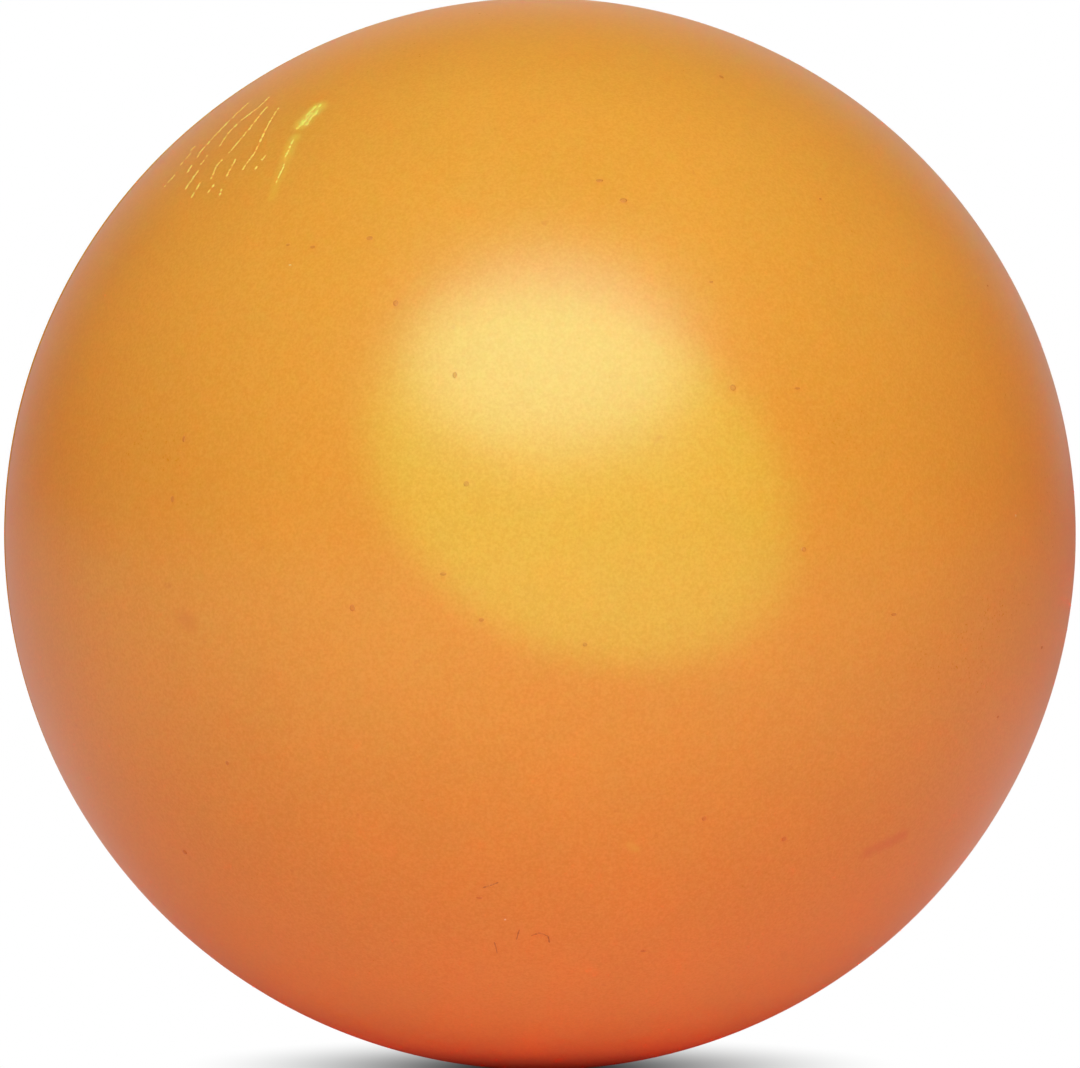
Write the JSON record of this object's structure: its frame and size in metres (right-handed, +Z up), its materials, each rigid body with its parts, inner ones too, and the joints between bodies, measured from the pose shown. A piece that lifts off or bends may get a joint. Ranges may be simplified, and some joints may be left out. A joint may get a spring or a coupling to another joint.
{
  "type": "racquetball",
  "caption": "Hollow bouncing ball for indoor court games: translucent orange rubber half shells with bevelled rims, cemented together round a sealed air cavity.",
  "frame": {"origin": "centre of the ball", "axes": "+Y along the pole axis, from the front half's pole to the rear half's; the seam lies in the upright XZ plane; +Z up"},
  "size_m": [0.0572, 0.0572, 0.0572],
  "materials": {
    "shell_rubber": "satin, translucent, finely ground",
    "rubber_cement": "satin"
  },
  "bodies": {
    "root": {"front_half_shell": "shell_rubber", "rear_half_shell": "shell_rubber", "seam_cement": "rubber_cement"}
  },
  "joints": []
}
